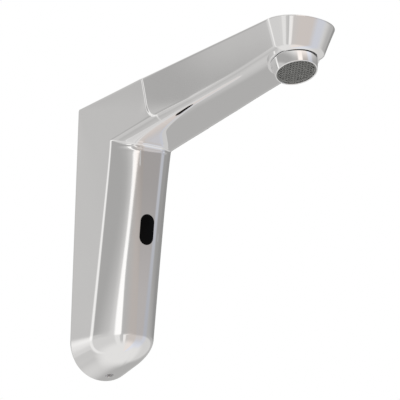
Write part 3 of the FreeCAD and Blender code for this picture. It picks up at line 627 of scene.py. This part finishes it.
# %% [markdown]
# The sensor's window is a pill of smoked acrylic that passes infrared light and looks black. Its
# edge is eased, because a moulded edge is never sharp, and a flange behind holds it in the wall.

# %% Sensor window
def eased(radius, low, high, steps=5):
    """Levels of a pill: straight from low, then a quarter round of the given radius up to high."""
    turns = [math.pi / 2 * k / steps for k in range(steps + 1)]
    quarter = [(radius * (1 - math.cos(t)), high - radius * (1 - math.sin(t))) for t in turns]
    return [(0.0, low)] + quarter


lens = pill("window_lens", eased(0.4, -5.6, -0.05), SENSOR, 4.73, 9.33)
flange = pill("tool", [(0.0, -6.7), (0.0, -5.2)], SENSOR, 6.4, 11.4)
combine(lens, [(JOIN, flange)])
smoked = finish("smoked_window", (0.002, 0.002, 0.0025), 0.0, (0.06, 0.12), 0.3, 300.0,
                (2500.0, 0.01), ior=1.18)
lens.data.materials.clear()
lens.data.materials.append(smoked)
smooth(lens)
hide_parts("sensor_lens")
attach(lens, "tap")
print("window", len(lens.data.polygons), "faces")

# %% [markdown]
# The aerator screws into the spout. Its collar is turned work: one profile swung round the axis,
# with a small round on every edge. The insert in its mouth is a moulded disc with a lattice of
# jet tubes. The tubes are one short ring, placed on a hexagonal lattice by Geometry Nodes.

# %% Aerator collar
def corner_round(before, corner, after, radius, steps=4):
    """Points that round one corner of a profile."""
    c = Vector(corner)
    a, b = (Vector(before) - c).normalized(), (Vector(after) - c).normalized()
    half = a.angle(b) / 2
    run = radius / math.tan(half)
    centre = c + (a + b).normalized() * (radius / math.sin(half))
    start, end = c + a * run, c + b * run
    points = []
    for k in range(steps + 1):
        way = (start.lerp(end, k / steps) - centre).normalized()
        points.append(tuple(centre + way * radius))
    return points


def rounded(profile, radii):
    """The profile with each corner rounded by its radius, or left sharp where that is 0."""
    points = []
    for k, (corner, radius) in enumerate(zip(profile, radii)):
        if radius:
            points += corner_round(profile[k - 1], corner, profile[(k + 1) % len(profile)], radius)
        else:
            points.append(corner)
    return points


def place_piece(piece, slot, body, *replaced):
    """Finishes a piece with its slot's material and hands it to the frame."""
    piece.data.materials.clear()
    piece.data.materials.append(FINISHES[slot])
    if replaced:
        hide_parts(*replaced)
    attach(piece, body)


MOUTH, COLLAR_LOW, COLLAR_TOP, THREAD_CREST, BORE = 10.74, 11.5, 13.0, 11.95, 11.0
COLLAR = rounded([(MOUTH, 0.0), (COLLAR_LOW, 0.0), (COLLAR_TOP, 7.2), (THREAD_CREST, 7.2),
                  (THREAD_CREST, 13.2), (BORE, 13.2), (BORE, 1.2), (MOUTH, 1.2)],
                 [0.25, 0.35, 0.5, 0, 0.2, 0.2, 0, 0])
collar = smooth(turned("aerator_collar", COLLAR, OUTLET, loop=True), 40)
print("collar", len(collar.data.polygons), "faces")

# %% Tree for the insert's lattice
def new_tree(name, sockets):
    """Geometry node tree with named inputs; returns (tree, input sockets, output node)."""
    tree = bpy.data.node_groups.new(name, "GeometryNodeTree")
    for label, kind, value in sockets:
        socket = tree.interface.new_socket(label, in_out="INPUT", socket_type=kind)
        if value is not None:
            socket.default_value = value
    tree.interface.new_socket("Geometry", in_out="OUTPUT", socket_type="NodeSocketGeometry")
    return tree, tree.nodes.new("NodeGroupInput").outputs, tree.nodes.new("NodeGroupOutput")


def close_tree(tree, geometry, material, out):
    """Ends a tree in Realize Instances and Set Material."""
    real = link_nodes(tree, "GeometryNodeRealizeInstances", {0: geometry})
    done = link_nodes(tree, "GeometryNodeSetMaterial", {0: real.outputs[0], "Material": material})
    tree.links.new(done.outputs[0], out.inputs[0])
    return tree


def grow(name, tree, values, frame):
    """Runs a tree with its inputs set, and returns the plain mesh object, placed in its mesh."""
    piece = bpy.data.objects.new(name, bpy.data.meshes.new(name))
    bpy.context.scene.collection.objects.link(piece)
    modifier = piece.modifiers.new("nodes", "NODES")
    modifier.node_group = tree
    sockets = {s.name: s.identifier for s in tree.interface.items_tree if s.in_out == "INPUT"}
    for label, value in values.items():
        modifier[sockets[label]] = value
    plain = bpy.data.meshes.new_from_object(piece.evaluated_get(bpy.context.evaluated_depsgraph_get()))
    piece.modifiers.clear()
    piece.data = plain
    plain.transform(frame)
    print(name, len(plain.polygons), "faces")
    return piece


def lattice_tree():
    """Short tubes on a hexagonal lattice inside a circle."""
    tree, given, out = new_tree("jet_lattice", [
        ("Rows", "NodeSocketInt", 9), ("Pitch", "NodeSocketFloat", 0.0023),
        ("Reach", "NodeSocketFloat", 0.0094), ("Tube Radius", "NodeSocketFloat", 0.0009),
        ("Wall", "NodeSocketFloat", 0.0002), ("Height", "NodeSocketFloat", 0.001),
        ("Material", "NodeSocketMaterial", None)])
    count = math_node(tree, "MULTIPLY", given["Rows"], given["Rows"])
    points = link_nodes(tree, "GeometryNodePoints", {"Count": count})
    index = tree.nodes.new("GeometryNodeInputIndex").outputs[0]
    half = math_node(tree, "MULTIPLY", math_node(tree, "SUBTRACT", given["Rows"], 1.0), 0.5)
    whole = math_node(tree, "FLOOR", math_node(tree, "DIVIDE", index, given["Rows"]))
    row = math_node(tree, "SUBTRACT", whole, half)
    column = math_node(tree, "SUBTRACT", math_node(tree, "MODULO", index, given["Rows"]), half)
    shift = math_node(tree, "MULTIPLY", math_node(tree, "PINGPONG", row, 1.0), 0.5)
    x = math_node(tree, "MULTIPLY", math_node(tree, "ADD", column, shift), given["Pitch"])
    y = math_node(tree, "MULTIPLY", row, math_node(tree, "MULTIPLY", given["Pitch"], math.sqrt(3) / 2))
    place = link_nodes(tree, "ShaderNodeCombineXYZ", {0: x, 1: y}).outputs[0]
    spread = link_nodes(tree, "GeometryNodeSetPosition", {"Geometry": points.outputs[0], "Position": place})
    far = link_nodes(tree, "ShaderNodeVectorMath", {0: place}, operation="LENGTH").outputs["Value"]
    outside = link_nodes(tree, "FunctionNodeCompare", {0: far, 1: given["Reach"]},
                         operation="GREATER_THAN").outputs[0]
    kept = link_nodes(tree, "GeometryNodeDeleteGeometry",
                      {"Geometry": spread.outputs[0], "Selection": outside}, domain="POINT")
    circle = link_nodes(tree, "GeometryNodeCurvePrimitiveCircle",
                        {"Resolution": 12, "Radius": given["Tube Radius"]})
    wall = link_nodes(tree, "GeometryNodeCurvePrimitiveQuadrilateral",
                      {"Width": given["Wall"], "Height": given["Height"]})
    ring = link_nodes(tree, "GeometryNodeCurveToMesh", {0: circle.outputs[0], 1: wall.outputs[0]})
    tubes = link_nodes(tree, "GeometryNodeInstanceOnPoints",
                       {"Points": kept.outputs[0], "Instance": ring.outputs[0]})
    return close_tree(tree, tubes.outputs[0], given["Material"], out)


# %% [markdown]
# The springs are hidden in the valve and the solenoid. A spring is a wire that follows a helix,
# and so is a screw thread. One small tree makes both: a spiral, a round or pointed wire and
# Curve to Mesh.

# %% Tree for springs and threads
def coil_tree():
    """Wire wound on a helix; a wire with four points makes a pointed thread."""
    tree, given, out = new_tree("coil", [
        ("Turns", "NodeSocketFloat", 6.0), ("Radius", "NodeSocketFloat", 0.004),
        ("Height", "NodeSocketFloat", 0.01), ("Wire", "NodeSocketFloat", 0.0004),
        ("Sides", "NodeSocketInt", 10), ("Steps", "NodeSocketInt", 36),
        ("Material", "NodeSocketMaterial", None)])
    spiral = link_nodes(tree, "GeometryNodeCurveSpiral", {
        "Resolution": given["Steps"], "Rotations": given["Turns"], "Start Radius": given["Radius"],
        "End Radius": given["Radius"], "Height": given["Height"]})
    wire = link_nodes(tree, "GeometryNodeCurvePrimitiveCircle",
                      {"Resolution": given["Sides"], "Radius": given["Wire"]})
    tube = link_nodes(tree, "GeometryNodeCurveToMesh",
                      {0: spiral.outputs[0], 1: wire.outputs[0], "Fill Caps": True})
    return close_tree(tree, tube.outputs[0], given["Material"], out)


lattice, coil = lattice_tree(), coil_tree()
print("trees", lattice.name, coil.name)

# %% [markdown]
# Everything behind the wall's line or inside the casting gets its finish too. Most of these nodes
# have the right shape already, so they keep their CAD mesh and only their material is made here.
# The numbers are colour, metallic, roughness low and high, mottle, its scale, grain scale and depth.

# %% Finishes by material slot
LOOKS = {
    "plate_steel": ((0.60, 0.60, 0.61), 1.0, (0.28, 0.42), 0.12, 90.0, (1200.0, 0.05)),
    "screw_steel": ((0.55, 0.55, 0.56), 1.0, (0.25, 0.4), 0.15, 400.0, (2500.0, 0.06)),
    "rubber_black": ((0.022, 0.022, 0.023), 0.0, (0.55, 0.75), 0.35, 300.0, (1500.0, 0.2)),
    "rubber_pale": ((0.72, 0.69, 0.62), 0.0, (0.45, 0.6), 0.1, 200.0, (1200.0, 0.1)),
    "brass": ((0.72, 0.53, 0.25), 1.0, (0.25, 0.42), 0.18, 120.0, (900.0, 0.08)),
    "steel_mesh": ((0.6, 0.6, 0.6), 1.0, (0.3, 0.45), 0.15, 400.0, (3000.0, 0.1)),
    "valve_plastic": ((0.80, 0.79, 0.74), 0.0, (0.4, 0.55), 0.06, 120.0, (1800.0, 0.08)),
    "spring_steel": ((0.6, 0.6, 0.61), 1.0, (0.2, 0.35), 0.1, 500.0, (3000.0, 0.04)),
    "tube_steel": ((0.66, 0.66, 0.66), 1.0, (0.18, 0.3), 0.08, 200.0, (2200.0, 0.04)),
    "coil_black": ((0.035, 0.035, 0.04), 0.0, (0.35, 0.5), 0.25, 300.0, (1500.0, 0.12)),
    "hose_plastic": ((0.84, 0.84, 0.82), 0.0, (0.3, 0.42), 0.05, 90.0, (800.0, 0.05)),
    "aerator_grey": ((0.33, 0.33, 0.32), 0.0, (0.3, 0.55), 0.9, 420.0, (2500.0, 0.25)),
    "housing_black": ((0.03, 0.03, 0.032), 0.0, (0.45, 0.6), 0.25, 200.0, (1600.0, 0.15)),
    "diode_clear": ((0.10, 0.09, 0.13), 0.0, (0.05, 0.12), 0.2, 500.0, (2500.0, 0.02)),
    "board_green": ((0.03, 0.20, 0.09), 0.0, (0.3, 0.45), 0.25, 500.0, (1500.0, 0.1)),
    "board_black": ((0.04, 0.04, 0.045), 0.0, (0.4, 0.55), 0.25, 400.0, (2500.0, 0.12)),
    "case_black": ((0.035, 0.035, 0.037), 0.0, (0.45, 0.62), 0.2, 150.0, (1400.0, 0.2)),
    "cell_wrap": ((0.10, 0.16, 0.30), 0.0, (0.22, 0.35), 0.12, 120.0, (1200.0, 0.04)),
    "contact_nickel": ((0.66, 0.64, 0.60), 1.0, (0.2, 0.35), 0.15, 400.0, (2500.0, 0.05)),
    "lead_red": ((0.45, 0.03, 0.03), 0.0, (0.4, 0.5), 0.12, 300.0, (2500.0, 0.08)),
    "lead_black": ((0.03, 0.03, 0.03), 0.0, (0.4, 0.52), 0.2, 300.0, (2500.0, 0.08)),
}
FINISHES = {slot: finish(slot, color, metallic, rough, mottle, scale, grain)
            for slot, (color, metallic, rough, mottle, scale, grain) in LOOKS.items()}
FINISHES["chrome_casting"] = FINISHES["chrome_collar"] = chrome
FINISHES["lens_black"] = smoked
print("finishes", len(FINISHES))

# %% Give the CAD nodes their finishes
dressed = 0
for part in frame["record"]["subparts"]:
    for slot in nodes[part["node"]].material_slots:
        slot.material = FINISHES[part["material_slot"]]
        dressed += 1
print("nodes dressed", dressed)

# %% The collar and the insert
place_piece(collar, "chrome_collar", "aerator", "aerator_housing")
TUBES_AT = 1.72
disc = turned("tool", [(10.9, 1.9), (10.9, 3.4)], OUTLET)
insert = grow("jet_insert", lattice, {
    "Rows": 11, "Pitch": 1.9 * MM, "Reach": 10.0 * MM, "Tube Radius": 0.78 * MM, "Wall": 0.26 * MM,
    "Height": 0.9 * MM, "Material": FINISHES["aerator_grey"]},
    OUTLET @ Matrix.Translation((0, 0, TUBES_AT * MM)))
rim_profile = rounded([(10.0, 1.25), (10.94, 1.25), (10.94, 3.3), (10.0, 3.3)], [0.2, 0.1, 0, 0])
rim = turned("tool", rim_profile, OUTLET, loop=True)


def merge(piece, others):
    """Joins the meshes of other objects into the piece's mesh."""
    mesh = bmesh.new()
    for source in [piece] + others:
        mesh.from_mesh(source.data)
    mesh.to_mesh(piece.data)
    mesh.free()
    for source in others:
        bpy.data.objects.remove(source)
    return piece


merge(insert, [disc, rim])
place_piece(smooth(insert, 40), "aerator_grey", "aerator", "jet_former")
print("insert", len(insert.data.polygons), "faces")

# %% Springs
WIRE = 0.38


def spring(name, radius, low, high, turns, y, node):
    """Upright coil between two heights, in place of a CAD sleeve."""
    piece = grow(name, coil, {
        "Turns": turns, "Radius": radius * MM, "Height": (high - low - 2 * WIRE) * MM, "Wire": WIRE * MM,
        "Sides": 10, "Steps": 28, "Material": FINISHES["spring_steel"]}, along("Z", 0, y, low + WIRE))
    place_piece(smooth(piece, 60), "spring_steel", "tap", node)
    return piece


valve_coil = spring("valve_coil", 4.8, -12.0, 0.3, 6.0, -26.0, "piston_spring")
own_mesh(valve_coil)
core_coil = spring("core_coil", 2.9, -38.0, -35.0, 3.0, -16.5, "plunger_spring")
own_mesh(core_coil)
print("springs wound")

# %% [markdown]
# The inlet tail goes into the wall's fitting with a G 1/2 thread. Its body is turned down to the
# thread's root, and the thread is the same coil tree with a four-sided wire, so that its crest
# stands where the CAD cylinder's surface is.

# %% Inlet tail and its thread
ROOT, CREST, PITCH, POINT = 9.55, 10.48, 1.814, 0.68
THREAD_START, THREAD_END, TAIL_END = 2.6, 23.2, 24.0
tail_profile = rounded(
    [(6.5, -12.7), (9.0, -12.7), (9.0, -11.4), (7.55, -11.4), (7.55, -9.5), (9.0, -9.5), (9.0, -7.0),
     (13.5, -7.0), (13.5, -4.0), (10.18, -4.0), (10.18, 2.0), (ROOT, THREAD_START), (ROOT, THREAD_END),
     (ROOT - 0.7, TAIL_END), (6.5, TAIL_END)],
    [0.3, 0.5, 0, 0, 0, 0, 0, 0.4, 0.4, 0, 0.3, 0, 0.3, 0.3, 0.4])
tail = turned("inlet_thread", tail_profile, along("Y", 0, 0, 0), loop=True)
turns = (THREAD_END - THREAD_START - PITCH) / PITCH
thread = grow("tool", coil, {
    "Turns": turns, "Radius": (CREST - POINT) * MM, "Height": turns * PITCH * MM, "Wire": POINT * MM,
    "Sides": 4, "Steps": 64, "Material": FINISHES["brass"]}, along("Y", 0, THREAD_START + PITCH / 2, 0))
merge(tail, [thread])
place_piece(smooth(tail, 40), "brass", "tap", "inlet_tail")
print("inlet tail", len(tail.data.polygons), "faces,", round(turns, 1), "turns of thread")

# %% [markdown]
# Polished chrome has no colour of its own: it shows the room. The room here is a plain studio
# built as a world shader, so that nothing has to stand round the tap. A direction is turned into
# its bearing round the tap and its height above the horizon. Along the bearing stand soft walls
# and light cards, each a level with a soft edge to the next, and each changes with height. High
# above and far below, all of them melt into one tone. Only mirror rays see the cards. The camera
# sees white, and matt surfaces get plain even light.

# %% Studio cards
# Each card: the bearing where it starts (degrees, 0 straight ahead of the spout and 90 on the
# tap's right), the softness of that edge and its level (0 to 255), each of them under, near and
# above the horizon.
CARDS = [
    ("wall line", (-150, -143.5, -143.5), (6, 0.2, 0.2), (190, 214, 186)),
    ("spout wall", (-147, -142.9, -142.9), (5, 0.3, 0.3), (194, 166, 186)),
    ("column wall", (-137.4, -136.5, -137.6), (0.6, 0.3, 2.0), (208, 211, 189)),
    ("bright seam", (-134.8, -134.8, -134.6), (0.8, 0.8, 1.4), (230, 248, 236)),
    ("left wall", (-128, -127, -126.5), (2, 2.5, 2.5), (204, 194, 163)),
    ("glow", (-82, -84, -50), (10, 12, 16), (206, 208, 172)),
    ("light strip", (-70, -71, -21), (3, 4, 5), (222, 253, 250)),
    ("front wall", (-54, -50, 3), (3, 2.5, 2.5), (190, 182, 161)),
    ("nose wedge", (-46, -46, 12), (3, 3, 3), (184, 176, 156)),
    ("nose strip", (-42, -42, 14), (1.5, 3, 3), (232, 174, 155)),
    ("front middle", (-30, 15, 18), (3, 8, 6), (193, 173, 155)),
    ("cool window", (34, 36, 34), (10, 4, 3), (203, 175, 184)),
    ("right wall", (66, 62, 62), (12, 10, 8), (205, 171, 150)),
    ("far right", (128, 116, 100), (6, 10, 12), (170, 180, 142)),
    ("back right", (154, 150, 152), (5, 6, 6), (178, 200, 215)),
]
FIRST_LEVEL = (178, 180, 186)
# Heights between which under turns to near and near to above, then those of the single tones.
TO_NEAR, TO_ABOVE = (-10.0, 0.5), (3.0, 8.0)
TONES = [((16.0, 40.0), 0.94), ((52.0, 84.0), 0.66), ((-34.0, -64.0), 0.87)]
REFLECTANCE, GAMMA, MATT_LIGHT = 0.93, 2.2, 0.52


# Tints of the walls: bearing of the middle, reach to each side, colour. The front of the room is
# warm and a window on the right is cool, which is what keeps chrome from looking like grey paint.
PLAIN_TINT, TINT_CORE = (1.012, 1.0, 0.982, 1.0), 0.3
TINTS = [(10.0, 52.0, (1.07, 0.985, 0.93, 1.0)), (48.0, 22.0, (0.97, 0.99, 1.07, 1.0))]


def build_world():
    world = bpy.data.worlds.new("studio")
    world.use_nodes = True
    tree = world.node_tree
    tree.nodes.clear()

    def between(value, low, high, **settings):
        """Smooth rise from 0 to 1 while the value goes from low to high."""
        return link_nodes(tree, "ShaderNodeMapRange", {0: value, 1: low, 2: high, 3: 0.0, 4: 1.0},
                          interpolation_type="SMOOTHSTEP", **settings).outputs[0]

    def mix(share, low, high):
        """Low to high by a share; where both are numbers and the same, that number."""
        if isinstance(low, bpy.types.NodeSocket):
            step = math_node(tree, "SUBTRACT", high, low)
        elif low == high:
            return low
        else:
            step = high - low
        return math_node(tree, "MULTIPLY_ADD", share, step, low)

    way = tree.nodes.new("ShaderNodeTexCoord").outputs["Generated"]
    x, y, z = link_nodes(tree, "ShaderNodeSeparateXYZ", {0: way}).outputs
    forwards = math_node(tree, "MULTIPLY", y, -1.0)
    bearing, height = [math_node(tree, "MULTIPLY", angle, math.degrees(1)) for angle in (
        math_node(tree, "ARCTAN2", x, forwards), math_node(tree, "ARCSINE", z))]
    from_under, from_near = between(height, *TO_NEAR), between(height, *TO_ABOVE)

    def banded(values, scale=1.0):
        """Number that follows its three values with the height above the horizon."""
        under, near, above = [v * scale for v in values]
        return mix(from_near, mix(from_under, under, near), above)

    level = banded(FIRST_LEVEL, 1 / 255)
    for name, edges, softness, levels in CARDS:
        edge, soft = banded(edges), banded(softness)
        share = between(bearing, math_node(tree, "SUBTRACT", edge, soft),
                        math_node(tree, "ADD", edge, soft), label=name)
        level = mix(share, level, banded(levels, 1 / 255))
    for span, single in TONES:
        level = mix(between(height, *span), level, single)
    bright = math_node(tree, "DIVIDE", math_node(tree, "POWER", level, GAMMA), REFLECTANCE)

    tint = None
    for middle, reach, color in TINTS:
        away = math_node(tree, "ABSOLUTE", math_node(tree, "SUBTRACT", bearing, middle))
        share = link_nodes(tree, "ShaderNodeMapRange",
                           {0: away, 1: reach * TINT_CORE, 2: reach, 3: 1.0, 4: 0.0}).outputs[0]
        mixed = link_nodes(tree, "ShaderNodeMix", {0: share}, data_type="RGBA")
        if tint is None:
            mixed.inputs[6].default_value = PLAIN_TINT
        else:
            tree.links.new(tint, mixed.inputs[6])
        mixed.inputs[7].default_value = color
        tint = mixed.outputs[2]
    room = link_nodes(tree, "ShaderNodeVectorMath", {0: tint}, operation="SCALE")
    tree.links.new(bright, room.inputs["Scale"])

    path = tree.nodes.new("ShaderNodeLightPath")
    mirror = link_nodes(tree, "ShaderNodeBackground", {"Color": room.outputs[0]})
    plain = link_nodes(tree, "ShaderNodeBackground", {"Color": (MATT_LIGHT,) * 3 + (1.0,)})
    white = link_nodes(tree, "ShaderNodeBackground", {"Color": (1.0, 1.0, 1.0, 1.0)})
    lit = link_nodes(tree, "ShaderNodeMixShader",
                     {0: path.outputs["Is Glossy Ray"], 1: plain.outputs[0], 2: mirror.outputs[0]})
    seen = link_nodes(tree, "ShaderNodeMixShader",
                      {0: path.outputs["Is Camera Ray"], 1: lit.outputs[0], 2: white.outputs[0]})
    link_nodes(tree, "ShaderNodeOutputWorld", {0: seen.outputs[0]})
    bpy.context.scene.world = world
    return len(tree.nodes)


print("world nodes", build_world())

# %% [markdown]
# The floor is pale and plain and lies well below the tap, because a tap hangs on a wall. The
# camera looks up at the tap, so the floor shows only in views from above. Mirror rays pass it by,
# because the cards hold the light that comes up from below. A little emission, for the camera
# only, keeps it pale. One broad soft lamp above the tap lights it and the matt surfaces.

# %% Floor and lamp
FLOOR_HEIGHT, FLOOR_HALF, FLOOR_GLOW = -0.62, 6.0, 0.45
LAMP_SIZE, LAMP_WATTS, LAMP_PLACE = 0.6, 6.6, (0.0, -0.15, 0.6)


def build_floor():
    mesh = bmesh.new()
    bmesh.ops.create_grid(mesh, x_segments=1, y_segments=1, size=FLOOR_HALF)
    bmesh.ops.translate(mesh, verts=mesh.verts, vec=(0, 0, FLOOR_HEIGHT))
    data = bpy.data.meshes.new("floor")
    mesh.to_mesh(data)
    mesh.free()
    floor = bpy.data.objects.new("floor", data)
    bpy.context.scene.collection.objects.link(floor)
    pale = finish("pale_floor", (0.86, 0.86, 0.85), 0.0, (0.75, 0.85), 0.03, 3.0, (60.0, 0.02))
    tree = pale.node_tree
    shader = tree.nodes["Principled BSDF"]
    seen = tree.nodes.new("ShaderNodeLightPath").outputs["Is Camera Ray"]
    shader.inputs["Emission Color"].default_value = (1.0, 1.0, 1.0, 1.0)
    tree.links.new(math_node(tree, "MULTIPLY", seen, FLOOR_GLOW), shader.inputs["Emission Strength"])
    data.materials.append(pale)
    floor.visible_glossy = False
    return floor


build_floor()
lamp_data = bpy.data.lights.new("soft_lamp", "AREA")
lamp_data.shape, lamp_data.size, lamp_data.energy = "DISK", LAMP_SIZE, LAMP_WATTS
lamp = bpy.data.objects.new("soft_lamp", lamp_data)
lamp.matrix_world = Matrix.Translation(LAMP_PLACE)
lamp.visible_glossy = False
bpy.context.scene.collection.objects.link(lamp)
print("floor at", FLOOR_HEIGHT, "lamp", LAMP_WATTS, "W")

# %% Plain view transform
bpy.context.scene.view_settings.view_transform = "Standard"
